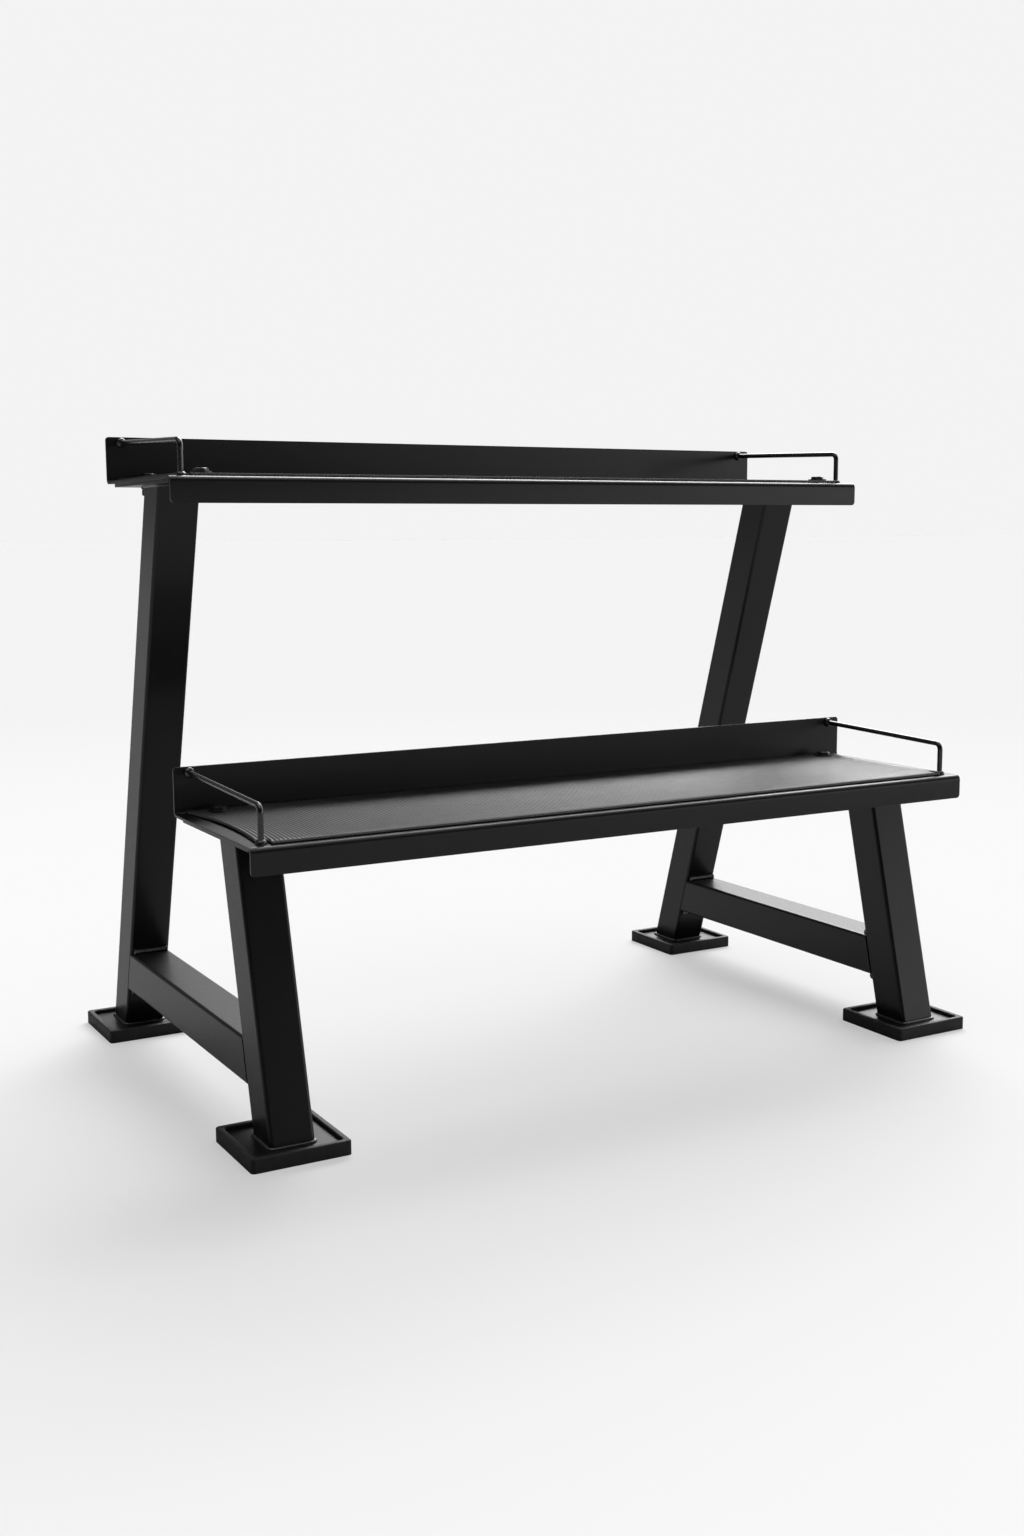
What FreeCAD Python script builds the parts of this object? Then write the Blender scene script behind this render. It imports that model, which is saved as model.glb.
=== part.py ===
import FreeCAD, Part
import math
import os

from FreeCAD import Vector

# A two-tier dumbbell rack. Two welded side frames, each with a tall rear leg that leans forward, a short
# front leg that leans back and a crossbar between them, carry two trays bent from steel sheet. Each tray
# has a rubber mat and a bent rod rail at each end. Lengths are in millimetres and angles in degrees.
# X runs along the trays, +Y points to the back and Z up. The origin is on the floor, at the centre of
# the four feet.

# Trays: one sheet each, bent up at the back and down at the front.
TRAY_LENGTH = 1200.0
TRAY_DEPTH = 302.0
TRAY_BACK_HEIGHT = 70.0
TRAY_LIP_DROP = 33.0
TRAY_SHEET = 4.0
TRAY_BEND_RADIUS = 4.0
BACK_CORNER_RADIUS = 5.0
LIP_CORNER_RADIUS = 6.0
UPPER_TRAY_HEIGHT = 882.5
LOWER_TRAY_HEIGHT = 414.5
UPPER_TRAY_FORWARD = 9.0
LOWER_TRAY_FORWARD = 1.0

# Side frames, from square tube.
FRAME_SPACING = 1090.0
TUBE_SIZE = 63.5
TUBE_WALL = 3.0
TUBE_CORNER_RADIUS = 5.0
REAR_LEG_LEAN = 17.4
FRONT_LEG_LEAN = 14.1
REAR_LEG_FLOOR_Y = 327.9
FRONT_LEG_FLOOR_Y = -324.8
CROSSBAR_UNDERSIDE = 78.0

# Mounting plates on top of the legs, which carry the trays.
TOP_PLATE_WIDTH = 100.0
TOP_PLATE_LENGTH = 260.0
TOP_PLATE_THICKNESS = 5.0
TOP_PLATE_CORNER_RADIUS = 4.0

# Feet: a rubber tray that the leg's steel base plate sits in.
FOOT_SIZE = 140.0
FOOT_HEIGHT = 20.0
FOOT_FLOOR = 8.0
FOOT_RIM = 9.0
FOOT_CORNER_RADIUS = 6.0
FOOT_EDGE_RADIUS = 2.5
FOOT_CENTRE_Y = 316.3
BASE_PLATE_THICKNESS = 6.0
BASE_PLATE_CLEARANCE = 0.3

# Rubber mats on the tray floors.
MAT_THICKNESS = 4.5
MAT_FRONT_GAP = 12.0
MAT_BACK_GAP = 5.0
MAT_END_GAP = 14.0
MAT_CORNER_RADIUS = 3.0
MAT_RAIL_CLEARANCE = 2.0

# End rails, from round rod.
RAIL_DIAMETER = 8.0
RAIL_BEND_RADIUS = 10.0
RAIL_END_INSET = 23.0
RAIL_LIP_INSET = 23.0
RAIL_BELOW_BACK_TOP = 8.5
RAIL_DROP = 8.5
RAIL_WELD_RADIUS = 8.0
RAIL_WELD_HEIGHT = 5.0
RAIL_WELD_EDGE = 0.6

# Fasteners that hold the trays to the plates.
BOLT_DIAMETER = 12.0
BOLT_LENGTH = 35.0
BOLT_SPACING = 236.0
BOLT_HOLE_CLEARANCE = 0.5
HEX_ACROSS_FLATS = 19.0
HEX_TURN = -19.5
HEX_HEAD_HEIGHT = 4.5
NUT_HEIGHT = 10.0
NUT_BORE_CLEARANCE = 0.05
HEX_CHAMFER_INSET = 0.4
HEX_CHAMFER_ANGLE = 30.0
WASHER_DIAMETER = 24.0
HEAD_WASHER_DIAMETER = 30.0
WASHER_THICKNESS = 2.5
COUNTERSUNK_HEAD_DIAMETER = 24.0

# Fillet welds.
LEG_WELD_SIZE = 5.0
CROSSBAR_WELD_SIZE = 6.0
WELD_BULGE = 0.25

# The two sides of the rack, and the two legs of a side frame. A leg's lean_sign is +1 where its top
# leans forward and -1 where its top leans back.
SIDES = {"left": -1.0, "right": 1.0}
LEGS = {
    "rear": {"floor_y": REAR_LEG_FLOOR_Y, "lean": REAR_LEG_LEAN, "lean_sign": 1.0,
             "foot_y": FOOT_CENTRE_Y, "tray_height": UPPER_TRAY_HEIGHT,
             "tray_forward": UPPER_TRAY_FORWARD},
    "front": {"floor_y": FRONT_LEG_FLOOR_Y, "lean": FRONT_LEG_LEAN, "lean_sign": -1.0,
              "foot_y": -FOOT_CENTRE_Y, "tray_height": LOWER_TRAY_HEIGHT,
              "tray_forward": LOWER_TRAY_FORWARD},
}
TRAYS = {"upper": LEGS["rear"], "lower": LEGS["front"]}
FLUSH_BOLT_TRAY = "lower"


# ---- Places worked out from the driving dimensions

def leg_axis_y(leg, z):
    """Y of the leg's centre line at height z."""
    return leg["floor_y"] - leg["lean_sign"] * z * math.tan(math.radians(leg["lean"]))


def leg_half_depth(leg):
    """Half the depth, along Y, of a level cut through the leaning leg."""
    return TUBE_SIZE / 2 / math.cos(math.radians(leg["lean"]))


def leg_bottom():
    """The legs stand on the base plates."""
    return FOOT_FLOOR + BASE_PLATE_THICKNESS


def leg_top(leg):
    """The leg ends under the mounting plate of its tray."""
    return leg["tray_height"] - TOP_PLATE_THICKNESS


def tray_centre_y(leg):
    """The tray's middle is a little forward of the top of its legs."""
    return leg_axis_y(leg, leg_top(leg)) - leg["tray_forward"]


def side_x(side):
    return SIDES[side] * FRAME_SPACING / 2


def rail_x(side):
    return SIDES[side] * (TRAY_LENGTH / 2 - RAIL_END_INSET)


def rail_foot_y(leg):
    return tray_centre_y(leg) - TRAY_DEPTH / 2 + RAIL_LIP_INSET


def base_plate_size():
    return FOOT_SIZE - 2 * FOOT_RIM - 2 * BASE_PLATE_CLEARANCE


def bolt_places(tray):
    """Every tray bolt as (x, y, is it the countersunk kind). The front pair of the lower tray is flush."""
    leg = TRAYS[tray]
    places = []
    for side in SIDES:
        for end in (-1.0, 1.0):
            flush = tray == FLUSH_BOLT_TRAY and end < 0
            places.append((side_x(side), tray_centre_y(leg) + end * BOLT_SPACING / 2, flush))
    return places


# ---- Outlines and plain solids

def rounded_rectangle(width, depth, radius):
    """A closed wire in the XY plane, centred on the origin, with round corners."""
    half_w = width / 2
    half_d = depth / 2
    bulge = radius * math.cos(math.radians(45.0))
    corners = ((1, 1, 1, 0), (-1, 1, 0, 1), (-1, -1, 1, 0), (1, -1, 0, 1))
    starts = []
    ends = []
    arcs = []
    for sx, sy, from_x, from_y in corners:
        centre = Vector(sx * (half_w - radius), sy * (half_d - radius), 0)
        start = centre + Vector(sx * radius * from_x, sy * radius * from_y, 0)
        end = centre + Vector(sx * radius * from_y, sy * radius * from_x, 0)
        middle = centre + Vector(sx * bulge, sy * bulge, 0)
        starts.append(start)
        ends.append(end)
        arcs.append(Part.Arc(start, middle, end).toShape())
    edges = []
    for index, arc in enumerate(arcs):
        edges.append(arc)
        edges.append(Part.makeLine(ends[index], starts[(index + 1) % len(starts)]))
    return Part.Wire(edges)


def rounded_slab(width, depth, radius, thickness, centre):
    """A flat plate with round corners, standing on the given centre point."""
    slab = Part.Face(rounded_rectangle(width, depth, radius)).extrude(Vector(0, 0, thickness))
    slab.translate(centre)
    return slab


def cylinder(diameter, bottom, top, x, y):
    return Part.makeCylinder(diameter / 2, top - bottom, Vector(x, y, bottom))


def profile_prism(points, centre_x, length):
    """A closed outline of (y, z) points, drawn out along X and centred on centre_x."""
    corners = [Vector(centre_x - length / 2, y, z) for y, z in points]
    face = Part.Face(Part.makePolygon(corners + corners[:1]))
    return face.extrude(Vector(length, 0, 0))


def level_slice(solid, bottom, top):
    """The part of the solid between two heights."""
    box = solid.BoundBox
    margin = TUBE_SIZE
    slab = Part.makeBox(box.XLength + 2 * margin, box.YLength + 2 * margin, top - bottom,
                        Vector(box.XMin - margin, box.YMin - margin, bottom))
    return solid.common(slab)


# ---- Side frames

def leaning_prism(leg, x, width, radius, bottom, top):
    """A square bar of the given width along the leg's centre line, cut level at both ends."""
    lean = math.radians(leg["lean"])
    overrun = width
    start_z = bottom - overrun
    length = (top - bottom + 2 * overrun) / math.cos(lean)
    bar = Part.Face(rounded_rectangle(width, width, radius)).extrude(Vector(0, 0, length))
    bar.rotate(Vector(0, 0, 0), Vector(1, 0, 0), leg["lean_sign"] * leg["lean"])
    bar.translate(Vector(x, leg_axis_y(leg, start_z), start_z))
    return level_slice(bar, bottom, top)


def leg_tube(leg, x):
    bottom = leg_bottom()
    top = leg_top(leg)
    outside = leaning_prism(leg, x, TUBE_SIZE, TUBE_CORNER_RADIUS, bottom, top)
    inside = leaning_prism(leg, x, TUBE_SIZE - 2 * TUBE_WALL, TUBE_CORNER_RADIUS - TUBE_WALL, bottom, top)
    return outside.cut(inside)


def space_between_legs(x, bottom, top):
    """The wedge between the rear leg's front face and the front leg's rear face."""
    rear = LEGS["rear"]
    front = LEGS["front"]
    outline = [
        (leg_axis_y(front, bottom) + leg_half_depth(front), bottom),
        (leg_axis_y(rear, bottom) - leg_half_depth(rear), bottom),
        (leg_axis_y(rear, top) - leg_half_depth(rear), top),
        (leg_axis_y(front, top) + leg_half_depth(front), top),
    ]
    return profile_prism(outline, x, 2 * TUBE_SIZE)


def level_bar(x, width, radius, front_y, back_y):
    """A square bar along Y whose underside clears the floor by CROSSBAR_UNDERSIDE."""
    bar = Part.Face(rounded_rectangle(width, width, radius)).extrude(Vector(0, 0, back_y - front_y))
    bar.rotate(Vector(0, 0, 0), Vector(1, 0, 0), -90)
    bar.translate(Vector(x, front_y, CROSSBAR_UNDERSIDE + TUBE_SIZE / 2))
    return bar


def crossbar(x):
    """The tube between the two legs, its ends cut to their lean."""
    front_y = LEGS["front"]["floor_y"]
    back_y = LEGS["rear"]["floor_y"]
    outside = level_bar(x, TUBE_SIZE, TUBE_CORNER_RADIUS, front_y, back_y)
    inside = level_bar(x, TUBE_SIZE - 2 * TUBE_WALL, TUBE_CORNER_RADIUS - TUBE_WALL, front_y, back_y)
    space = space_between_legs(x, CROSSBAR_UNDERSIDE - TUBE_SIZE, CROSSBAR_UNDERSIDE + 2 * TUBE_SIZE)
    return outside.cut(inside).common(space)


def base_plate(leg, x):
    size = base_plate_size()
    return rounded_slab(size, size, FOOT_CORNER_RADIUS, BASE_PLATE_THICKNESS,
                        Vector(x, leg["foot_y"], FOOT_FLOOR))


def rubber_foot(leg, x):
    """A square rubber tray with a raised rim around the base plate."""
    pocket_size = base_plate_size() + 2 * BASE_PLATE_CLEARANCE
    body = rounded_slab(FOOT_SIZE, FOOT_SIZE, FOOT_CORNER_RADIUS, FOOT_HEIGHT, Vector(x, leg["foot_y"], 0))
    pocket = rounded_slab(pocket_size, pocket_size, FOOT_CORNER_RADIUS, FOOT_HEIGHT,
                          Vector(x, leg["foot_y"], FOOT_FLOOR))
    foot = body.cut(pocket)
    rim_edges = [edge for edge in foot.Edges if edge.BoundBox.ZMin > FOOT_HEIGHT - FOOT_EDGE_RADIUS]
    return foot.makeFillet(FOOT_EDGE_RADIUS, rim_edges)


def top_plate(tray, x):
    """The mounting plate on a leg, with its two bolt holes."""
    leg = TRAYS[tray]
    plate = rounded_slab(TOP_PLATE_WIDTH, TOP_PLATE_LENGTH, TOP_PLATE_CORNER_RADIUS, TOP_PLATE_THICKNESS,
                         Vector(x, tray_centre_y(leg), leg_top(leg)))
    return plate.cut(bolt_holes(tray))


# ---- Trays, mats and rails

def tray_outline(leg):
    """The bent sheet's section in the YZ plane: back, floor and lip, with both bends."""
    back = tray_centre_y(leg) + TRAY_DEPTH / 2
    front = tray_centre_y(leg) - TRAY_DEPTH / 2
    under = leg["tray_height"]
    sheet = TRAY_SHEET
    inner = TRAY_BEND_RADIUS
    outer = TRAY_BEND_RADIUS + TRAY_SHEET
    x = -TRAY_LENGTH / 2
    back_bend = (back - outer, under + outer)
    front_bend = (front + outer, under - inner)

    def point(y, z):
        return Vector(x, y, z)

    def bend(centre, radius, start, end):
        middle = math.radians((start + end) / 2)
        places = [math.radians(start), middle, math.radians(end)]
        return Part.Arc(*[point(centre[0] + radius * math.cos(a), centre[1] + radius * math.sin(a))
                          for a in places]).toShape()

    top = under + TRAY_BACK_HEIGHT
    lip = under - TRAY_LIP_DROP
    return Part.Wire([
        Part.makeLine(point(back, top), point(back - sheet, top)),
        Part.makeLine(point(back - sheet, top), point(back - sheet, back_bend[1])),
        bend(back_bend, inner, 0, -90),
        Part.makeLine(point(back_bend[0], under + sheet), point(front_bend[0], under + sheet)),
        bend(front_bend, outer, 90, 180),
        Part.makeLine(point(front, front_bend[1]), point(front, lip)),
        Part.makeLine(point(front, lip), point(front + sheet, lip)),
        Part.makeLine(point(front + sheet, lip), point(front + sheet, front_bend[1])),
        bend(front_bend, inner, 180, 90),
        Part.makeLine(point(front_bend[0], under), point(back_bend[0], under)),
        bend(back_bend, outer, -90, 0),
        Part.makeLine(point(back, back_bend[1]), point(back, top)),
    ])


def corner_edges(solid, z):
    """The short edges through the sheet's thickness at the given height."""
    return [edge for edge in solid.Edges
            if abs(edge.BoundBox.ZMin - z) < TRAY_SHEET / 2 and abs(edge.BoundBox.ZMax - z) < TRAY_SHEET / 2
            and edge.BoundBox.XLength < TRAY_SHEET and edge.BoundBox.YLength > TRAY_SHEET / 2]


def tray(name):
    """The bent tray, with its outer corners rounded and its bolt holes."""
    leg = TRAYS[name]
    sheet = Part.Face(tray_outline(leg)).extrude(Vector(TRAY_LENGTH, 0, 0))
    sheet = sheet.makeFillet(BACK_CORNER_RADIUS, corner_edges(sheet, leg["tray_height"] + TRAY_BACK_HEIGHT))
    sheet = sheet.makeFillet(LIP_CORNER_RADIUS, corner_edges(sheet, leg["tray_height"] - TRAY_LIP_DROP))
    return sheet.cut(bolt_holes(name))


def mat(name):
    """The rubber mat: a slab cut away around the rail feet and for the bolts that pass through it."""
    leg = TRAYS[name]
    bottom = leg["tray_height"] + TRAY_SHEET
    front = tray_centre_y(leg) - TRAY_DEPTH / 2 + MAT_FRONT_GAP
    back = tray_centre_y(leg) + TRAY_DEPTH / 2 - TRAY_SHEET - MAT_BACK_GAP
    slab = rounded_slab(TRAY_LENGTH - 2 * MAT_END_GAP, back - front, MAT_CORNER_RADIUS, MAT_THICKNESS,
                        Vector(0, (front + back) / 2, bottom))
    reach = RAIL_WELD_RADIUS + MAT_RAIL_CLEARANCE
    for side in SIDES:
        notch = rounded_slab(2 * reach, 4 * reach, MAT_CORNER_RADIUS, MAT_THICKNESS,
                             Vector(rail_x(side), rail_foot_y(leg) - reach, bottom))
        overhang = rounded_slab(2 * reach, 4 * reach, MAT_CORNER_RADIUS, MAT_THICKNESS,
                                Vector(rail_x(side) + SIDES[side] * reach, rail_foot_y(leg) - reach, bottom))
        slab = slab.cut(notch.fuse(overhang))
    holes = [cylinder(BOLT_DIAMETER + 2 * BOLT_HOLE_CLEARANCE, bottom, bottom + MAT_THICKNESS, x, y)
             for x, y, flush in bolt_places(name) if not flush]
    return slab.cut(holes)


def rail(tray_name, side):
    """The bent rod: forward and slightly down from the tray's back, round one bend and down to its floor."""
    leg = TRAYS[tray_name]
    x = rail_x(side)
    back_y = tray_centre_y(leg) + TRAY_DEPTH / 2 - TRAY_SHEET
    rail_z = leg["tray_height"] + TRAY_BACK_HEIGHT - RAIL_BELOW_BACK_TOP
    start = Vector(x, back_y, rail_z)
    corner = Vector(x, rail_foot_y(leg), rail_z - RAIL_DROP)
    down = Vector(0, 0, -1)
    forward = (corner - start).normalize()
    half_turn = forward.getAngle(down) / 2
    bend_start = corner - forward * RAIL_BEND_RADIUS * math.tan(half_turn)
    bend_end = corner + down * RAIL_BEND_RADIUS * math.tan(half_turn)
    inward = (down - forward).normalize()
    bend_middle = corner + inward * RAIL_BEND_RADIUS * (1 / math.cos(half_turn) - 1)
    buried = start - forward * TRAY_SHEET / 2
    path = Part.Wire([
        Part.makeLine(buried, bend_start),
        Part.Arc(bend_start, bend_middle, bend_end).toShape(),
        Part.makeLine(bend_end, Vector(x, rail_foot_y(leg), leg["tray_height"] + TRAY_SHEET)),
    ])
    ring = Part.Wire(Part.makeCircle(RAIL_DIAMETER / 2, buried, forward))
    behind = Part.makeBox(2 * RAIL_DIAMETER, RAIL_DIAMETER, 2 * RAIL_DIAMETER,
                          start - Vector(RAIL_DIAMETER, 0, RAIL_DIAMETER))
    return path.makePipeShell([ring], True, False).cut(behind)


# ---- Fasteners

def bolt_holes(tray_name):
    """The holes through the tray's floor and the plates under it."""
    leg = TRAYS[tray_name]
    top = leg["tray_height"] + TRAY_SHEET
    bottom = leg_top(leg)
    holes = []
    for x, y, flush in bolt_places(tray_name):
        hole = cylinder(BOLT_DIAMETER + 2 * BOLT_HOLE_CLEARANCE, bottom, top, x, y)
        if flush:
            hole = hole.fuse(countersunk_head(x, y, top))
        holes.append(hole)
    return holes


def countersunk_head(x, y, top):
    """A 90 degree conical head whose flat top is at the given height."""
    depth = (COUNTERSUNK_HEAD_DIAMETER - BOLT_DIAMETER) / 2
    return Part.makeCone(BOLT_DIAMETER / 2, COUNTERSUNK_HEAD_DIAMETER / 2, depth, Vector(x, y, top - depth))


def hexagon_block(height, x, y, bottom, chamfer_both_ends):
    """A hexagonal head or nut with its corners turned off at the top, or at both ends."""
    corner_radius = HEX_ACROSS_FLATS / 2 / math.cos(math.radians(30.0))
    turns = [math.radians(HEX_TURN + 60.0 * step) for step in range(6)]
    corners = [Vector(x + corner_radius * math.cos(turn), y + corner_radius * math.sin(turn), bottom)
               for turn in turns]
    block = Part.Face(Part.makePolygon(corners + corners[:1])).extrude(Vector(0, 0, height))
    small = HEX_ACROSS_FLATS / 2 - HEX_CHAMFER_INSET
    large = small + height / math.tan(math.radians(HEX_CHAMFER_ANGLE))
    block = block.common(Part.makeCone(large, small, height, Vector(x, y, bottom)))
    if chamfer_both_ends:
        block = block.common(Part.makeCone(small, large, height, Vector(x, y, bottom)))
    return block


def hex_bolt(x, y, seat):
    """A hexagon bolt whose head rests on the given height."""
    head = hexagon_block(HEX_HEAD_HEIGHT, x, y, seat, False)
    return head.fuse(cylinder(BOLT_DIAMETER, seat - BOLT_LENGTH, seat, x, y)).removeSplitter()


def flush_bolt(x, y, top):
    """A countersunk bolt whose head is level with the given height."""
    head = countersunk_head(x, y, top)
    return head.fuse(cylinder(BOLT_DIAMETER, top - BOLT_LENGTH, top, x, y)).removeSplitter()


def washer(diameter, x, y, bottom):
    top = bottom + WASHER_THICKNESS
    hole = cylinder(BOLT_DIAMETER + 2 * BOLT_HOLE_CLEARANCE, bottom, top, x, y)
    return cylinder(diameter, bottom, top, x, y).cut(hole)


def nut(x, y, top):
    block = hexagon_block(NUT_HEIGHT, x, y, top - NUT_HEIGHT, True)
    return block.cut(cylinder(BOLT_DIAMETER + 2 * NUT_BORE_CLEARANCE, top - NUT_HEIGHT, top, x, y))


def fasteners(tray_name):
    """One tray's bolts, head washers, nut washers and nuts, each kind as a list of solids."""
    leg = TRAYS[tray_name]
    floor_top = leg["tray_height"] + TRAY_SHEET
    mat_top = floor_top + MAT_THICKNESS
    plate_under = leg_top(leg)
    kinds = {"hex_bolts": [], "flush_bolts": [], "head_washers": [], "nut_washers": [], "nuts": []}
    for x, y, flush in bolt_places(tray_name):
        if flush:
            kinds["flush_bolts"].append(flush_bolt(x, y, floor_top))
        else:
            kinds["hex_bolts"].append(hex_bolt(x, y, mat_top + WASHER_THICKNESS))
            kinds["head_washers"].append(washer(HEAD_WASHER_DIAMETER, x, y, mat_top))
        kinds["nut_washers"].append(washer(WASHER_DIAMETER, x, y, plate_under - WASHER_THICKNESS))
        kinds["nuts"].append(nut(x, y, plate_under - WASHER_THICKNESS))
    return kinds


# ---- Welds

def leg_end_weld(leg, x, plate_z, away):
    """The fillet weld around a leg where it meets a plate. The leg runs up from the plate when away is
    +1 and down from it when away is -1."""
    wires = []
    for offset, spread in ((0.0, LEG_WELD_SIZE), (LEG_WELD_SIZE, WELD_BULGE)):
        z = plate_z + away * offset
        width = TUBE_SIZE + 2 * spread
        depth = 2 * leg_half_depth(leg) + 2 * spread
        wire = rounded_rectangle(width, depth, TUBE_CORNER_RADIUS + spread)
        wire.translate(Vector(x, leg_axis_y(leg, z), z))
        wires.append(wire)
    bead = Part.makeLoft(wires, True, True)
    low = min(plate_z, plate_z + away * LEG_WELD_SIZE)
    core = leaning_prism(leg, x, TUBE_SIZE, TUBE_CORNER_RADIUS, low, low + LEG_WELD_SIZE)
    return bead.cut(core)


def crossbar_weld(leg, x, z, up):
    """A straight bead along X in the corner between the crossbar and a leg, above it or below it."""
    inward = -leg["lean_sign"]
    size = CROSSBAR_WELD_SIZE
    corner_y = leg_axis_y(leg, z) + inward * leg_half_depth(leg)
    far_z = z + up * size
    far_y = leg_axis_y(leg, far_z) + inward * leg_half_depth(leg)
    near_y = corner_y + inward * size
    bulge_y = (near_y + far_y) / 2 + inward * size * WELD_BULGE / 2
    bulge_z = (z + far_z) / 2 + up * size * WELD_BULGE / 2
    outline = [(corner_y, z), (near_y, z), (bulge_y, bulge_z), (far_y, far_z)]
    return profile_prism(outline, x, TUBE_SIZE - 2 * TUBE_CORNER_RADIUS)


def rail_welds(tray_name, side):
    """The collars where a rail meets the tray's back and the tray's floor."""
    leg = TRAYS[tray_name]
    x = rail_x(side)
    edge = RAIL_DIAMETER / 2 + RAIL_WELD_EDGE
    back_y = tray_centre_y(leg) + TRAY_DEPTH / 2 - TRAY_SHEET
    rail_z = leg["tray_height"] + TRAY_BACK_HEIGHT - RAIL_BELOW_BACK_TOP
    floor_z = leg["tray_height"] + TRAY_SHEET
    rod = rail(tray_name, side)
    back_collar = Part.makeCone(RAIL_WELD_RADIUS, edge, RAIL_WELD_HEIGHT, Vector(x, back_y, rail_z),
                                Vector(0, -1, 0))
    foot_collar = Part.makeCone(RAIL_WELD_RADIUS, edge, RAIL_WELD_HEIGHT,
                                Vector(x, rail_foot_y(leg), floor_z), Vector(0, 0, 1))
    return [back_collar.cut(rod), foot_collar.cut(rod)]


# ---- Writing the nodes

def solids_of(shapes):
    """Every solid in a list of shapes."""
    found = []
    for shape in shapes:
        found.extend(shape.Solids)
    return found


def write_node(name, shapes):
    """Write one node: a single solid, or a group of separate solids."""
    solids = solids_of(shapes)
    for solid in solids:
        if not (solid.isValid() and solid.isClosed()):
            raise ValueError("node " + name + " has a faulty solid")
    node = solids[0] if len(solids) == 1 else Part.makeCompound(solids)
    node.exportStep("parts/" + name + ".step")


def write_side_frames():
    for side in SIDES:
        x = side_x(side)
        write_node(side + "_crossbar", [crossbar(x)])
        for leg_name, leg in LEGS.items():
            write_node(side + "_" + leg_name + "_leg", [leg_tube(leg, x)])
            write_node(side + "_" + leg_name + "_base_plate", [base_plate(leg, x)])
            write_node(side + "_" + leg_name + "_rubber_foot", [rubber_foot(leg, x)])


def write_trays():
    for name in TRAYS:
        write_node(name + "_tray", [tray(name)])
        write_node(name + "_mat", [mat(name)])
        for side in SIDES:
            write_node(side + "_" + name + "_mounting_plate", [top_plate(name, side_x(side))])
            write_node(side + "_" + name + "_rail", [rail(name, side)])


def write_fasteners():
    for name in TRAYS:
        for kind, solids in fasteners(name).items():
            if solids:
                write_node(name + "_tray_" + kind, solids)


def write_welds():
    foot_welds = []
    top_welds = []
    bar_welds = []
    rail_ends = []
    for side in SIDES:
        x = side_x(side)
        for leg in LEGS.values():
            foot_welds.append(leg_end_weld(leg, x, leg_bottom(), 1.0))
            top_welds.append(leg_end_weld(leg, x, leg_top(leg), -1.0))
            bar_welds.append(crossbar_weld(leg, x, CROSSBAR_UNDERSIDE + TUBE_SIZE, 1.0))
            bar_welds.append(crossbar_weld(leg, x, CROSSBAR_UNDERSIDE, -1.0))
        for name in TRAYS:
            rail_ends.extend(rail_welds(name, side))
    write_node("base_plate_welds", foot_welds)
    write_node("mounting_plate_welds", top_welds)
    write_node("crossbar_welds", bar_welds)
    write_node("rail_welds", rail_ends)


os.makedirs("parts", exist_ok=True)
write_side_frames()
write_trays()
write_fasteners()
write_welds()
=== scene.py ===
import math
from collections import namedtuple

import bmesh
import bpy
from mathutils import Matrix, Vector


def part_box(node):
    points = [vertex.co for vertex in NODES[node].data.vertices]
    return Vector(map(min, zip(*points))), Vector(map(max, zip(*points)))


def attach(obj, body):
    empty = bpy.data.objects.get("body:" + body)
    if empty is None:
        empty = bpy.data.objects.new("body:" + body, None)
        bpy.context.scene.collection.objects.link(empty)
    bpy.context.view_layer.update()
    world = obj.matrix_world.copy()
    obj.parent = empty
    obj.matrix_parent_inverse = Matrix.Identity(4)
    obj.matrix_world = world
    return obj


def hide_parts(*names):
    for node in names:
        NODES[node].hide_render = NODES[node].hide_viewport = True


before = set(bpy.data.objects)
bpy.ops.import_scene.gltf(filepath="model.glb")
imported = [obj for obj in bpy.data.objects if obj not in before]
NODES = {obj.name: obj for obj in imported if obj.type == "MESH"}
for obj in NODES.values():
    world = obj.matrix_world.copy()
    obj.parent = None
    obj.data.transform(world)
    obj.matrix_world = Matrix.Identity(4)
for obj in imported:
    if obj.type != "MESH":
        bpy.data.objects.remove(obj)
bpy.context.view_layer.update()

# Lengths are in metres. X runs to the rack's right, Y to its back, and Z up from the floor.
SCENE = bpy.context.scene
SIDES = ("left", "right")
LEVELS = ("upper", "lower")
LEGS = ("rear", "front")
MM = 0.001

# ---- Camera: its lens is in millimetres
CAMERA_PLACE = Vector((-1.3098, -2.2931, 0.8062))
CAMERA_YAW = math.radians(29.487)
CAMERA_PITCH = math.radians(-8.111)
CAMERA_ROLL = math.radians(-0.359)
CAMERA_LENS = 38.63

# ---- Studio: direction towards each soft light, its half angle and soft edge in degrees, its brightness
SOFTBOXES = (
    (Vector((0.50, 0.54, 0.68)), 14.0, 16.0, 10.0),
    (Vector((0.00, 0.00, 1.00)), 30.0, 20.0, 1.1),
    (Vector((0.94, 0.34, 0.10)), 22.0, 34.0, 1.8),
    (Vector((0.30, 1.00, 0.08)), 18.0, 24.0, 0.36),
    (Vector((0.78, -0.57, -0.50)), 18.0, 32.0, 3.60),
    (Vector((-1.00, 0.75, 0.10)), 14.0, 25.0, 0.22),
)
ROOM_BRIGHTNESS = 0.03
BACKGROUND = 0.896

# ---- Floor: its glow is seen by the camera only, and changes between two distances from the rack's middle. It is painted light, brighter near the rack than far from it
FLOOR_SIZE = 400.0
FLOOR_COLOUR = 0.40
FLOOR_DARKER_SHARE = 0.995
FLOOR_CLOUD_SCALE = 3.0
FLOOR_CLOUD_DETAIL = 2.0
FLOOR_GLOW_NEAR = 0.41
FLOOR_GLOW_FAR = 0.355
FLOOR_GLOW_REACH = (1.5, 6.0)

# ---- Looks: a texture's scale is its features per metre, and most of a noise lies from low to high
Tint = namedtuple("Tint", "scale detail roughness dark pale")
Gloss = namedtuple("Gloss", "scale detail smoothest roughest")
Grain = namedtuple("Grain", "scale detail depth strength")
NOISE_LOW = 0.3
NOISE_HIGH = 0.7

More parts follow.
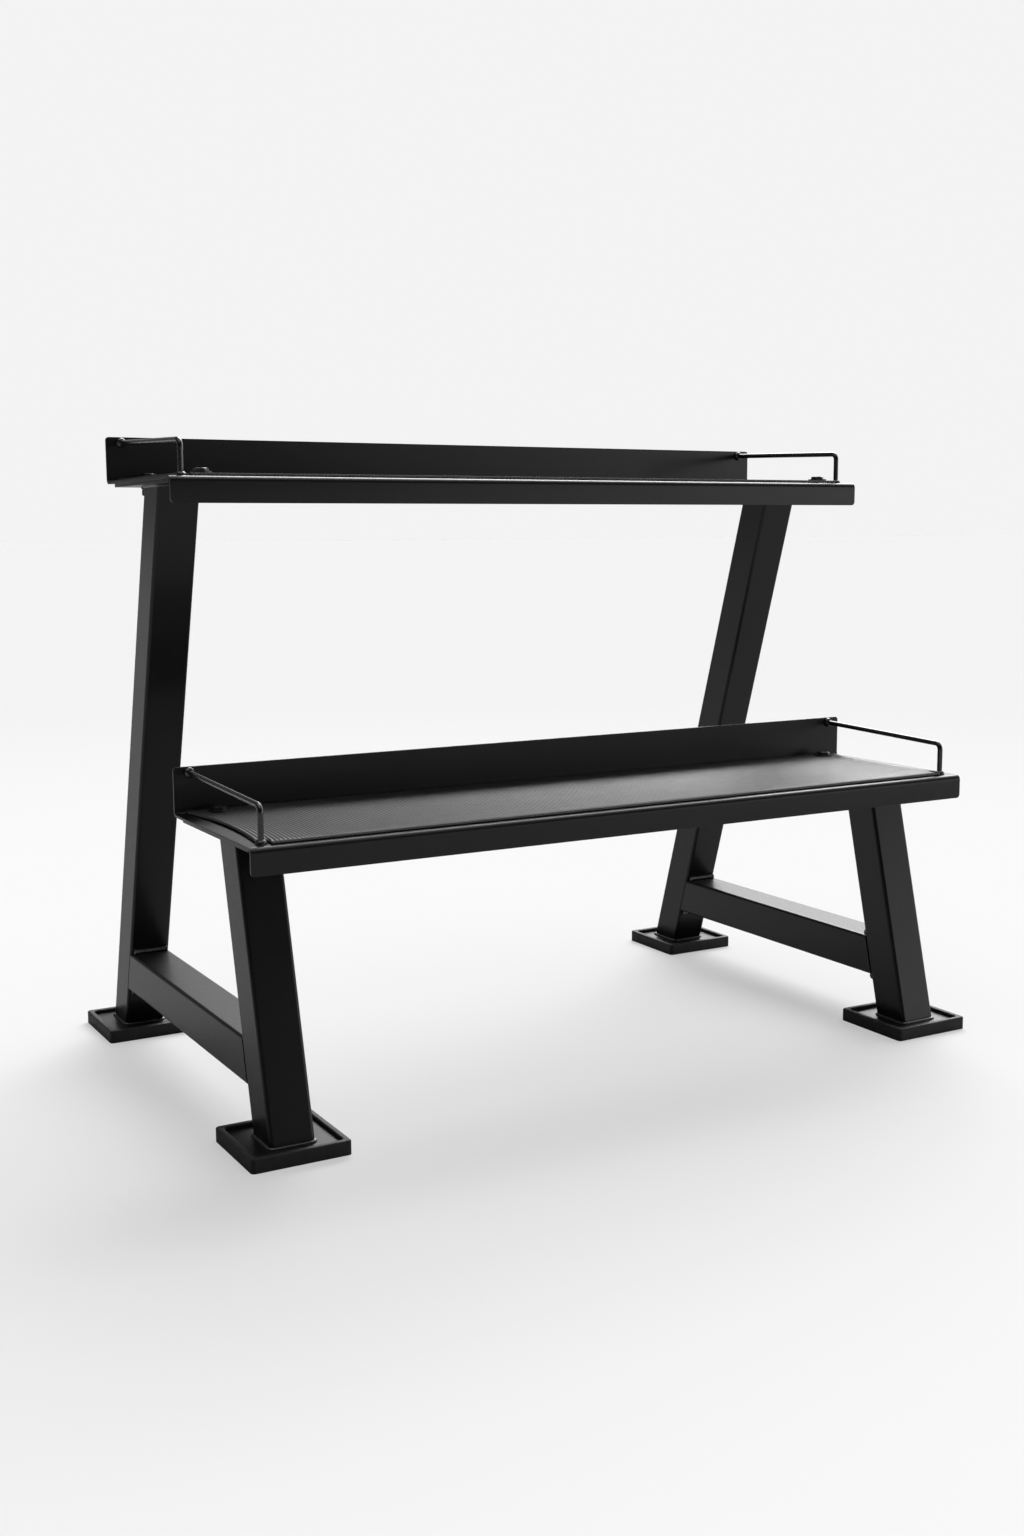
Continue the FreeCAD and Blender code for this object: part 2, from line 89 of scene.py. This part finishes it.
# ---- Edges of sheet and plate, rounded by the paint where they are sharper than the sharp angle
EDGE_ROUND = 1.0 * MM
EDGE_SEGMENTS = 3
FLAT_ANGLE = math.radians(0.6)
SHARP_ANGLE = math.radians(38.0)
MERGE_DISTANCE = 0.01 * MM

# ---- Mats: a rib's shape is pairs of place across it and height, each from 0 to 1
MAT_SHEEN_DIRECTION = Vector((0.7, 0.7, 0.0))
RIB_PITCH = 6.0 * MM
RIB_DEPTH = 1.2 * MM
RIB_SHAPE = ((0.00, 0.0), (0.14, 0.60), (0.31, 0.92), (0.50, 1.0), (0.69, 0.92), (0.86, 0.60))
MAT_ROWS = 22
MAT_BACK_LIFT = 0.8 * MM
MAT_BACK_REACH = 20.0 * MM
MAT_END_BOW = {"left": 13.0 * MM, "right": 26.0 * MM}
MAT_BOW_REACH = 150.0 * MM
MAT_BOW_FULLNESS = 0.8
MAT_END_LIFT = 1.2 * MM
MAT_END_REACH = 34.0 * MM
MAT_END_PEAK = 0.60
MAT_NOTCH_REACH = 10.0 * MM
MAT_NOTCH_RAMP = 3.0 * MM
BOLT_HOLD_NEAR = 13.0 * MM
BOLT_HOLD_FAR = 36.0 * MM

# ---- Welds
BEAD_SIDES = 14
RIPPLE_PITCH = 2.6 * MM
RIPPLE_DEPTH = 0.10
RIPPLE_SKEW = 0.6
BEAD_STEP = RIPPLE_PITCH / 5.0
PLATE_BEAD_RADIUS = 3.4 * MM
CROSSBAR_BEAD_RADIUS = 4.2 * MM
CROSSBAR_BEAD_FLARE = 0.35
FLARE_STEEPNESS = 4
TUBE_CORNER = 5.0 * MM
CORNER_STEPS = 6
COLLAR_RADIUS = 8.0 * MM
COLLAR_TOP_SHARE = 0.42
COLLAR_HEIGHT = 6.0 * MM
COLLAR_SIDES = 72
COLLAR_LOBES = 11
COLLAR_LOBE_DEPTH = 0.055
COLLAR_RINGS = 10


# ---- Small helpers

def smooth_step(value):
    """0 below 0, 1 above 1, and a smooth rise between them."""
    t = min(max(value, 0.0), 1.0)
    return t * t * (3.0 - 2.0 * t)


def new_object(name, mesh):
    """An object for a mesh, in the scene."""
    piece = bpy.data.objects.new(name, mesh)
    SCENE.collection.objects.link(piece)
    return piece


def mesh_from(name, corners, faces):
    """A smooth-shaded mesh from its corners and faces, with its faces turned outwards."""
    mesh = bpy.data.meshes.new(name)
    mesh.from_pydata(corners, [], faces)
    form = bmesh.new()
    form.from_mesh(mesh)
    bmesh.ops.recalc_face_normals(form, faces=form.faces)
    form.to_mesh(mesh)
    form.free()
    mesh.shade_smooth()
    return mesh


def finish(piece, slot, material, *nodes):
    """Gives a piece its material and its body, and hides the CAD nodes that it stands for."""
    piece.data.materials.append(material)
    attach(piece, "root")
    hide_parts(*nodes)


def applied(piece):
    """Applies a piece's modifiers to its mesh."""
    bpy.context.view_layer.update()
    seen = piece.evaluated_get(bpy.context.evaluated_depsgraph_get())
    mesh = bpy.data.meshes.new_from_object(seen)
    piece.modifiers.clear()
    piece.data = mesh
    return piece


def solid_boxes(node):
    """The box of each separate solid in a CAD node."""
    form = bmesh.new()
    form.from_mesh(NODES[node].data)
    bmesh.ops.remove_doubles(form, verts=form.verts, dist=MERGE_DISTANCE)
    boxes = []
    left = set(form.verts)
    while left:
        group = [left.pop()]
        for vert in group:
            for edge in vert.link_edges:
                other = edge.other_vert(vert)
                if other in left:
                    left.remove(other)
                    group.append(other)
        low = Vector([min(v.co[axis] for v in group) for axis in range(3)])
        high = Vector([max(v.co[axis] for v in group) for axis in range(3)])
        boxes.append((low, high))
    form.free()
    return sorted(boxes, key=lambda found: (found[0].x, found[0].y, found[0].z))


# ---- Material nodes

def new_material(name):
    """A material, its node tree and its shader."""
    material = bpy.data.materials.new(name)
    material.use_nodes = True
    tree = material.node_tree
    return material, tree, tree.nodes["Principled BSDF"]


def noise(tree, scale, detail, roughness=0.5):
    """The value of a noise whose features are about 1 / scale metres across."""
    place = tree.nodes.new("ShaderNodeTexCoord")
    cloud = tree.nodes.new("ShaderNodeTexNoise")
    cloud.inputs["Scale"].default_value = scale
    cloud.inputs["Detail"].default_value = detail
    cloud.inputs["Roughness"].default_value = roughness
    tree.links.new(place.outputs["Object"], cloud.inputs["Vector"])
    return cloud.outputs["Fac"]


def mapped(tree, value, start, end, low, high, interpolation="LINEAR"):
    """A value that runs from low to high while the given one runs from start to end."""
    node = tree.nodes.new("ShaderNodeMapRange")
    node.interpolation_type = interpolation
    node.inputs["From Min"].default_value = start
    node.inputs["From Max"].default_value = end
    node.inputs["To Min"].default_value = low
    node.inputs["To Max"].default_value = high
    tree.links.new(value, node.inputs["Value"])
    return node.outputs["Result"]


def ramp(tree, value, first, second):
    """A colour between two, chosen by a noise."""
    node = tree.nodes.new("ShaderNodeValToRGB")
    node.color_ramp.elements[0].position = NOISE_LOW
    node.color_ramp.elements[0].color = (*first, 1.0)
    node.color_ramp.elements[1].position = NOISE_HIGH
    node.color_ramp.elements[1].color = (*second, 1.0)
    tree.links.new(value, node.inputs["Fac"])
    return node.outputs["Color"]


def bump(tree, height, distance, strength, under=None):
    """A bumped normal, on top of another one if it is given."""
    node = tree.nodes.new("ShaderNodeBump")
    node.inputs["Distance"].default_value = distance
    node.inputs["Strength"].default_value = strength
    tree.links.new(height, node.inputs["Height"])
    if under is not None:
        tree.links.new(under, node.inputs["Normal"])
    return node.outputs["Normal"]


def surface(name, tint, gloss, grains, settings):
    """A material with clouded colour and gloss, grains one over another, and fixed settings."""
    material, tree, shader = new_material(name)
    cloud = noise(tree, tint.scale, tint.detail, tint.roughness)
    tree.links.new(ramp(tree, cloud, tint.dark, tint.pale), shader.inputs["Base Color"])
    cloud = noise(tree, gloss.scale, gloss.detail)
    roughness = mapped(tree, cloud, NOISE_LOW, NOISE_HIGH, gloss.smoothest, gloss.roughest)
    tree.links.new(roughness, shader.inputs["Roughness"])
    normal = None
    for grain in grains:
        normal = bump(tree, noise(tree, grain.scale, grain.detail), grain.depth, grain.strength, normal)
    tree.links.new(normal, shader.inputs["Normal"])
    for socket, value in settings.items():
        shader.inputs[socket].default_value = value
    return material


# ---- Materials

def powder_coat(name, smoothest, roughest, specular, coat):
    """Black powder coat: a fine orange peel with powder grain in it."""
    return surface(
        name,
        Tint(scale=9.0, detail=4.0, roughness=0.5,
             dark=(0.0036, 0.0038, 0.0040), pale=(0.0064, 0.0066, 0.0068)),
        Gloss(scale=420.0, detail=3.0, smoothest=smoothest, roughest=roughest),
        (Grain(scale=650.0, detail=2.0, depth=0.05 * MM, strength=0.30),
         Grain(scale=3200.0, detail=1.0, depth=0.02 * MM, strength=0.25)),
        {"Specular IOR Level": specular, "Coat Weight": coat, "Coat Roughness": 0.17})


def bead_paint():
    """The same coat over weld metal, where it runs thin and shines."""
    return surface(
        "coat_over_weld",
        Tint(scale=260.0, detail=4.0, roughness=0.5,
             dark=(0.0060, 0.0063, 0.0067), pale=(0.0300, 0.0308, 0.0320)),
        Gloss(scale=500.0, detail=3.0, smoothest=0.14, roughest=0.26),
        (Grain(scale=700.0, detail=3.0, depth=0.15 * MM, strength=0.5),),
        {"Specular IOR Level": 0.85})


def mat_rubber():
    """Dark rubber sheet with a faint bloom.

    Its sheen is stretched along MAT_SHEEN_DIRECTION, 45 degrees from the ribs. That direction is an
    aid to the light, and stands for nothing in the rubber.
    """
    material = surface(
        "ribbed_mat_rubber",
        Tint(scale=45.0, detail=5.0, roughness=0.6,
             dark=(0.0100, 0.0108, 0.0126), pale=(0.0170, 0.0180, 0.0206)),
        Gloss(scale=70.0, detail=3.0, smoothest=0.38, roughest=0.43),
        (Grain(scale=1500.0, detail=2.0, depth=0.04 * MM, strength=0.20),),
        {"Anisotropic": 0.85, "Specular IOR Level": 0.95, "IOR": 1.65})
    tree = material.node_tree
    along = tree.nodes.new("ShaderNodeCombineXYZ")
    along.inputs["X"].default_value = MAT_SHEEN_DIRECTION.x
    along.inputs["Y"].default_value = MAT_SHEEN_DIRECTION.y
    tree.links.new(along.outputs["Vector"], tree.nodes["Principled BSDF"].inputs["Tangent"])
    return material


def foot_rubber():
    """Matt moulded rubber with a fine spark-eroded texture."""
    return surface(
        "moulded_foot_rubber",
        Tint(scale=60.0, detail=5.0, roughness=0.6,
             dark=(0.0110, 0.0110, 0.0110), pale=(0.0190, 0.0188, 0.0185)),
        Gloss(scale=300.0, detail=3.0, smoothest=0.50, roughest=0.66),
        (Grain(scale=1800.0, detail=2.0, depth=0.08 * MM, strength=0.45),),
        {"Specular IOR Level": 0.38})


def black_steel():
    """Black-oxide steel: dark metal with brighter rubbed patches."""
    return surface(
        "black_oxide_steel",
        Tint(scale=330.0, detail=5.0, roughness=0.65,
             dark=(0.020, 0.021, 0.023), pale=(0.085, 0.086, 0.090)),
        Gloss(scale=700.0, detail=3.0, smoothest=0.26, roughest=0.46),
        (Grain(scale=1400.0, detail=2.0, depth=0.05 * MM, strength=0.35),),
        {"Metallic": 0.85})


PAINT = powder_coat("satin_black_powder_coat", smoothest=0.32, roughest=0.42, specular=0.22, coat=0.25)
ROD_PAINT = powder_coat("glossy_black_powder_coat", smoothest=0.22, roughest=0.30, specular=0.40, coat=0.60)
BEAD = bead_paint()
MAT_RUBBER = mat_rubber()
FOOT_RUBBER = foot_rubber()
STEEL = black_steel()


# ---- Parts kept from the CAD, with better materials

def finish_node(name, material):
    """Puts a material on every slot of a CAD node."""
    for place in NODES[name].material_slots:
        place.material = material


def finish_kept_nodes():
    """Tubes, rails, feet and fasteners keep their CAD shapes."""
    for side in SIDES:
        finish_node(f"{side}_crossbar", PAINT)
        for level in LEVELS:
            finish_node(f"{side}_{level}_rail", ROD_PAINT)
        for leg in LEGS:
            finish_node(f"{side}_{leg}_leg", PAINT)
            finish_node(f"{side}_{leg}_rubber_foot", FOOT_RUBBER)
    for name in NODES:
        if name.endswith(("bolts", "washers", "nuts")):
            finish_node(name, STEEL)


# ---- Sheet and plate with rounded edges

def outline(node):
    """The corners of a CAD node and its flat faces, each in one piece."""
    form = bmesh.new()
    form.from_mesh(NODES[node].data)
    bmesh.ops.remove_doubles(form, verts=form.verts, dist=MERGE_DISTANCE)
    bmesh.ops.dissolve_limit(form, angle_limit=FLAT_ANGLE, verts=form.verts, edges=form.edges)
    form.verts.index_update()
    corners = [v.co[:] for v in form.verts]
    faces = [[v.index for v in face.verts] for face in form.faces]
    form.free()
    return corners, faces


def eased(node, slot):
    """A copy of a CAD part whose cut edges are rounded as the paint leaves them."""
    name = f"{node}_sheet"
    piece = new_object(name, mesh_from(name, *outline(node)))
    rounding = piece.modifiers.new("rounding", "BEVEL")
    rounding.width = EDGE_ROUND
    rounding.segments = EDGE_SEGMENTS
    rounding.limit_method = "ANGLE"
    rounding.angle_limit = SHARP_ANGLE
    rounding.harden_normals = True
    finish(applied(piece), slot, PAINT, node)


def make_sheets():
    """The trays and the plates."""
    for level in LEVELS:
        eased(f"{level}_tray", "tray_paint")
        for side in SIDES:
            eased(f"{side}_{level}_mounting_plate", "frame_paint")
    for side in SIDES:
        for leg in LEGS:
            eased(f"{side}_{leg}_base_plate", "frame_paint")


# ---- Ribbed mats

def rib_columns(left, right):
    """Places across the mat and how high its top is there, from 0 in a groove to 1 on a rib."""
    count = round((right - left) / RIB_PITCH)
    pitch = (right - left) / count
    columns = []
    for rib in range(count):
        for part, height in RIB_SHAPE:
            columns.append((left + (rib + part) * pitch, height))
    columns.append((right, 0.0))
    return columns


def bolt_centres(level):
    """The middle of each bolt head that stands on a tray's mat."""
    return [(low + high) / 2.0 for low, high in solid_boxes(f"{level}_tray_head_washers")]


def bolt_hold(x, y, bolts):
    """1 away from every bolt, and 0 where a bolt head holds the mat down."""
    free = 1.0
    for bolt in bolts:
        distance = math.hypot(x - bolt.x, y - bolt.y)
        free = min(free, smooth_step((distance - BOLT_HOLD_NEAR) / (BOLT_HOLD_FAR - BOLT_HOLD_NEAR)))
    return free


def mat_lift(x, y, low, high, bolts):
    """How far the mat stands off the tray: up the bend at the back, and arched at its two ends."""
    along = (y - low.y) / (high.y - low.y)
    to_end = min(x - low.x, high.x - x)
    back = MAT_BACK_LIFT * smooth_step(1.0 - (high.y - y) / MAT_BACK_REACH)
    side = MAT_END_PEAK if along < MAT_END_PEAK else 1.0 - MAT_END_PEAK
    arch = smooth_step(1.0 - abs(along - MAT_END_PEAK) / side)
    end = MAT_END_LIFT * arch * smooth_step(1.0 - to_end / MAT_END_REACH)
    return max(back, end) * bolt_hold(x, y, bolts)


def end_bow(x, y, low, high):
    """How far a point near an end of the mat is drawn in, because the cut ends are hollow curves."""
    along = (y - low.y) / (high.y - low.y)
    if not 0.0 < along < 1.0:
        return 0.0
    side = "left" if x < 0.0 else "right"
    near_end = smooth_step(1.0 - (high.x - abs(x)) / MAT_BOW_REACH)
    return MAT_END_BOW[side] * math.sin(math.pi * along) ** MAT_BOW_FULLNESS * near_end


def mat_notch(level, mat_front):
    """Where the notches around the rails' front feet start, out from the middle, and their depth."""
    low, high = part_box(f"right_{level}_rail")
    rod_radius = (high.x - low.x) / 2.0
    start = low.x + rod_radius - MAT_NOTCH_REACH
    depth = low.y + rod_radius + MAT_NOTCH_REACH - mat_front
    return start, depth


def mat_corners(level, low, high, columns):
    """The corners of a mat's grid, by columns from its front to its back: underside, then top."""
    bolts = bolt_centres(level)
    notch_start, notch_depth = mat_notch(level, low.y)
    thickness = high.z - low.z
    corners = []
    for x, height in columns:
        front = low.y + notch_depth * smooth_step((abs(x) - notch_start) / MAT_NOTCH_RAMP)
        for row in range(MAT_ROWS + 1):
            y = front + (high.y - front) * row / MAT_ROWS
            base = low.z + mat_lift(x, y, low, high, bolts)
            top = base + thickness - RIB_DEPTH * (1.0 - height)
            bowed = x - math.copysign(end_bow(x, y, low, high), x)
            corners.append((bowed, y, base))
            corners.append((bowed, y, top))
    return corners


def mat_faces(count):
    """The faces of a mat's grid: underside, top and the four edges."""
    rows = MAT_ROWS + 1
    faces = []

    def corner(column, row, up):
        return (column * rows + row) * 2 + up

    for column in range(count - 1):
        for row in range(rows - 1):
            for up in (0, 1):
                faces.append((corner(column, row, up), corner(column + 1, row, up),
                              corner(column + 1, row + 1, up), corner(column, row + 1, up)))
        for row in (0, rows - 1):
            faces.append((corner(column, row, 0), corner(column + 1, row, 0),
                          corner(column + 1, row, 1), corner(column, row, 1)))
    for column in (0, count - 1):
        for row in range(rows - 1):
            faces.append((corner(column, row, 0), corner(column, row + 1, 0),
                          corner(column, row + 1, 1), corner(column, row, 1)))
    return faces


def make_mats():
    """A mat for each tray: ribs from front to back, notched around the rail feet, closed all round."""
    for level in LEVELS:
        low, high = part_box(f"{level}_mat")
        columns = rib_columns(low.x, high.x)
        corners = mat_corners(level, low, high, columns)
        name = f"{level}_ribbed_mat"
        piece = new_object(name, mesh_from(name, corners, mat_faces(len(columns))))
        finish(piece, "mat_rubber", MAT_RUBBER, f"{level}_mat")


# ---- Welds

def ring_faces(rings, sides, closed):
    """The faces between each ring of corners and the next, and back to the first if closed."""
    faces = []
    for ring in range(rings if closed else rings - 1):
        near = ring * sides
        far = (ring + 1) % rings * sides
        for turn in range(sides):
            other = (turn + 1) % sides
            faces.append((near + turn, near + other, far + other, far + turn))
    return faces


def cap_face(ring, sides):
    """The face that closes one ring of corners."""
    return tuple(range(ring * sides, (ring + 1) * sides))


def joined(name, shells):
    """One mesh from several shells of corners and faces."""
    corners = []
    faces = []
    for shell_corners, shell_faces in shells:
        start = len(corners)
        corners.extend(shell_corners)
        faces.extend(tuple(index + start for index in face) for face in shell_faces)
    return mesh_from(name, corners, faces)


def evenly(points, closed):
    """Points a bead's step apart along a line through the given ones."""
    ends = points + points[:1] if closed else points
    placed = []
    for start, end in zip(ends, ends[1:]):
        parts = max(1, round((end - start).length / BEAD_STEP))
        for part in range(parts):
            placed.append(start.lerp(end, part / parts))
    if not closed:
        placed.append(ends[-1])
    return placed


def ripple(distance):
    """The overlapping scales of a weld: a quick rise and a slow fall along the bead."""
    share = (distance / RIPPLE_PITCH) % 1.0
    return 1.0 + RIPPLE_DEPTH * (math.sin(math.pi * share ** RIPPLE_SKEW) - 0.5)


def swept_bead(path, radius, flare, closed):
    """Corners and faces of a rippled bead along a path. It swells towards its ends by flare."""
    corners = []
    travelled = 0.0
    total = sum((b - a).length for a, b in zip(path, path[1:]))
    count = len(path)
    for step, point in enumerate(path):
        before = path[step - 1] if step or closed else point
        after = path[(step + 1) % count] if step + 1 < count or closed else point
        heading = (after - before).normalized()
        across = heading.cross(Vector((0, 0, 1))).normalized()
        over = across.cross(heading).normalized()
        if step:
            travelled += (point - path[step - 1]).length
        swell = 1.0 + flare * abs(2.0 * travelled / total - 1.0) ** FLARE_STEEPNESS
        size = radius * ripple(travelled) * swell
        for turn in range(BEAD_SIDES):
            angle = 2.0 * math.pi * turn / BEAD_SIDES
            corners.append(point + across * size * math.cos(angle) + over * size * math.sin(angle))
    faces = ring_faces(count, BEAD_SIDES, closed)
    if not closed:
        faces += [cap_face(0, BEAD_SIDES), cap_face(count - 1, BEAD_SIDES)]
    return corners, faces


def around_tube(low, high, z):
    """A path around a tube's section at one height."""
    points = []
    left, right = low.x + TUBE_CORNER, high.x - TUBE_CORNER
    front, back = low.y + TUBE_CORNER, high.y - TUBE_CORNER
    for quarter, (x, y) in enumerate(((right, back), (left, back), (left, front), (right, front))):
        for step in range(CORNER_STEPS + 1):
            angle = math.pi / 2.0 * (quarter + step / CORNER_STEPS)
            points.append(Vector((x + TUBE_CORNER * math.cos(angle), y + TUBE_CORNER * math.sin(angle), z)))
    return evenly(points, True)


def end_bead(low, high, plate_is_below):
    """The bead around a leg's end. The CAD weld is as wide as it is high, and the tube is inside it."""
    inset = Vector((high.z - low.z, high.z - low.z, 0.0))
    z = low.z if plate_is_below else high.z
    return swept_bead(around_tube(low + inset, high - inset, z), PLATE_BEAD_RADIUS, 0.0, True)


def make_end_welds():
    """Beads around the legs at the base plates and under the mounting plates."""
    for plate, is_below in (("base_plate", True), ("mounting_plate", False)):
        shells = [end_bead(low, high, is_below) for low, high in solid_boxes(f"{plate}_welds")]
        piece = new_object(f"{plate}_beads", joined(f"{plate}_beads", shells))
        finish(piece, "frame_paint", BEAD, f"{plate}_welds")


def make_crossbar_welds():
    """Straight beads across the crossbars at the legs, above and below."""
    shells = []
    for low, high in solid_boxes("crossbar_welds"):
        middle = (low + high) / 2.0
        path = [Vector((low.x, middle.y, middle.z)), Vector((high.x, middle.y, middle.z))]
        shells.append(swept_bead(evenly(path, False), CROSSBAR_BEAD_RADIUS, CROSSBAR_BEAD_FLARE, False))
    piece = new_object("crossbar_beads", joined("crossbar_beads", shells))
    finish(piece, "frame_paint", BEAD, "crossbar_welds")


def collar(foot, axis):
    """A lumpy cone of weld metal around a rail where it meets a sheet."""
    across = axis.orthogonal().normalized()
    over = axis.cross(across)
    corners = []
    for ring in range(COLLAR_RINGS + 1):
        share = ring / COLLAR_RINGS
        height = COLLAR_HEIGHT * math.sin(share * math.pi / 2.0)
        narrowing = (1.0 - COLLAR_TOP_SHARE) * math.cos(share * math.pi / 2.0)
        radius = COLLAR_RADIUS * (COLLAR_TOP_SHARE + narrowing)
        for turn in range(COLLAR_SIDES):
            angle = 2.0 * math.pi * turn / COLLAR_SIDES
            lobe = abs(math.sin(COLLAR_LOBES * angle / 2.0 + share))
            size = radius * (1.0 + COLLAR_LOBE_DEPTH * (lobe - 1.0))
            side = across * math.cos(angle) + over * math.sin(angle)
            corners.append(foot + axis * height + side * size)
    faces = [cap_face(0, COLLAR_SIDES)]
    faces += ring_faces(COLLAR_RINGS + 1, COLLAR_SIDES, False)
    faces.append(cap_face(COLLAR_RINGS, COLLAR_SIDES))
    return corners, faces


def make_rail_welds():
    """The collars at both ends of every rail. One on a tray's floor is wider than it is high."""
    shells = []
    for low, high in solid_boxes("rail_welds"):
        middle = (low + high) / 2.0
        on_floor = high.z - low.z < high.x - low.x - MERGE_DISTANCE
        if on_floor:
            shells.append(collar(Vector((middle.x, middle.y, low.z)), Vector((0, 0, 1))))
        else:
            shells.append(collar(Vector((middle.x, high.y, middle.z)), Vector((0, -1, 0))))
    piece = new_object("rail_collars", joined("rail_collars", shells))
    finish(piece, "tray_paint", BEAD, "rail_welds")


# ---- Floor, light and camera

def camera_glow(tree):
    """How much the floor glows for the camera, and nothing for any other ray: painted light, brighter near
    the rack's middle.
    """
    place = tree.nodes.new("ShaderNodeTexCoord")
    distance = tree.nodes.new("ShaderNodeVectorMath")
    distance.operation = "LENGTH"
    tree.links.new(place.outputs["Object"], distance.inputs[0])
    # Painted light: the glow is stronger close to the rack and weaker far from it
    painted_glow = mapped(tree, distance.outputs["Value"], *FLOOR_GLOW_REACH, FLOOR_GLOW_NEAR, FLOOR_GLOW_FAR,
                  interpolation="SMOOTHSTEP")
    path = tree.nodes.new("ShaderNodeLightPath")
    glow = tree.nodes.new("ShaderNodeMath")
    glow.operation = "MULTIPLY"
    tree.links.new(path.outputs["Is Camera Ray"], glow.inputs[0])
    tree.links.new(painted_glow, glow.inputs[1])
    return glow.outputs["Value"]


def floor_material():
    """Matt, and pale through a glow that only the camera sees, so that it throws little light back."""
    material, tree, shader = new_material("pale_floor")
    shade = (FLOOR_COLOUR, FLOOR_COLOUR, FLOOR_COLOUR)
    darker = tuple(value * FLOOR_DARKER_SHARE for value in shade)
    cloud = noise(tree, FLOOR_CLOUD_SCALE, FLOOR_CLOUD_DETAIL)
    tree.links.new(ramp(tree, cloud, darker, shade), shader.inputs["Base Color"])
    shader.inputs["Roughness"].default_value = 1.0
    shader.inputs["Specular IOR Level"].default_value = 0.0
    shader.inputs["Emission Color"].default_value = (1.0, 1.0, 1.0, 1.0)
    tree.links.new(camera_glow(tree), shader.inputs["Emission Strength"])
    return material


def make_floor():
    """A wide floor that catches soft shadows."""
    half = FLOOR_SIZE / 2.0
    corners = [(-half, -half, 0.0), (half, -half, 0.0), (half, half, 0.0), (-half, half, 0.0)]
    piece = new_object("studio_floor", mesh_from("studio_floor", corners, [(0, 1, 2, 3)]))
    piece.data.materials.append(floor_material())


def softbox(tree, direction, half_angle, edge, brightness):
    """The brightness that one soft light gives to each direction."""
    place = tree.nodes.new("ShaderNodeTexCoord")
    facing = tree.nodes.new("ShaderNodeVectorMath")
    facing.operation = "DOT_PRODUCT"
    facing.inputs[1].default_value = direction.normalized()
    tree.links.new(place.outputs["Generated"], facing.inputs[0])
    dark_from = math.cos(math.radians(half_angle + edge))
    bright_from = math.cos(math.radians(half_angle - edge / 2.0))
    return mapped(tree, facing.outputs["Value"], dark_from, bright_from, 0.0, brightness,
                  interpolation="SMOOTHSTEP")


def brightest(tree):
    """The brightest of all soft lights in each direction, and the room's own where that is brighter."""
    light = None
    for direction, half_angle, edge, brightness in SOFTBOXES:
        value = softbox(tree, direction, half_angle, edge, brightness)
        brighter = tree.nodes.new("ShaderNodeMath")
        brighter.operation = "MAXIMUM"
        brighter.inputs[1].default_value = ROOM_BRIGHTNESS
        tree.links.new(value, brighter.inputs[0])
        if light is not None:
            tree.links.new(light, brighter.inputs[1])
        light = brighter.outputs["Value"]
    return light


def make_studio():
    """Soft lights around the rack, in front of a background that the camera sees as plain."""
    world = bpy.data.worlds.new("studio")
    world.use_nodes = True
    tree = world.node_tree
    light = brightest(tree)
    path = tree.nodes.new("ShaderNodeLightPath")
    choice = tree.nodes.new("ShaderNodeMix")
    # A Mix node's sockets for plain numbers
    factor, unseen, seen = choice.inputs[0], choice.inputs[2], choice.inputs[3]
    seen.default_value = BACKGROUND
    tree.links.new(path.outputs["Is Camera Ray"], factor)
    tree.links.new(light, unseen)
    tree.links.new(choice.outputs[0], tree.nodes["Background"].inputs["Color"])
    SCENE.world = world
    SCENE.view_settings.view_transform = "Standard"


def make_camera():
    """The camera at the photograph's angle."""
    forward = Vector((math.sin(CAMERA_YAW) * math.cos(CAMERA_PITCH),
                      math.cos(CAMERA_YAW) * math.cos(CAMERA_PITCH),
                      math.sin(CAMERA_PITCH)))
    level = Vector((math.cos(CAMERA_YAW), -math.sin(CAMERA_YAW), 0.0))
    above = level.cross(forward)
    right = level * math.cos(CAMERA_ROLL) + above * math.sin(CAMERA_ROLL)
    up = above * math.cos(CAMERA_ROLL) - level * math.sin(CAMERA_ROLL)
    camera = bpy.data.objects.new("camera", bpy.data.cameras.new("camera"))
    turn = Matrix((right, up, -forward)).transposed().to_4x4()
    camera.matrix_world = Matrix.Translation(CAMERA_PLACE) @ turn
    camera.data.lens = CAMERA_LENS
    SCENE.collection.objects.link(camera)
    SCENE.camera = camera


finish_kept_nodes()
make_sheets()
make_mats()
make_end_welds()
make_crossbar_welds()
make_rail_welds()
make_floor()
make_studio()
make_camera()
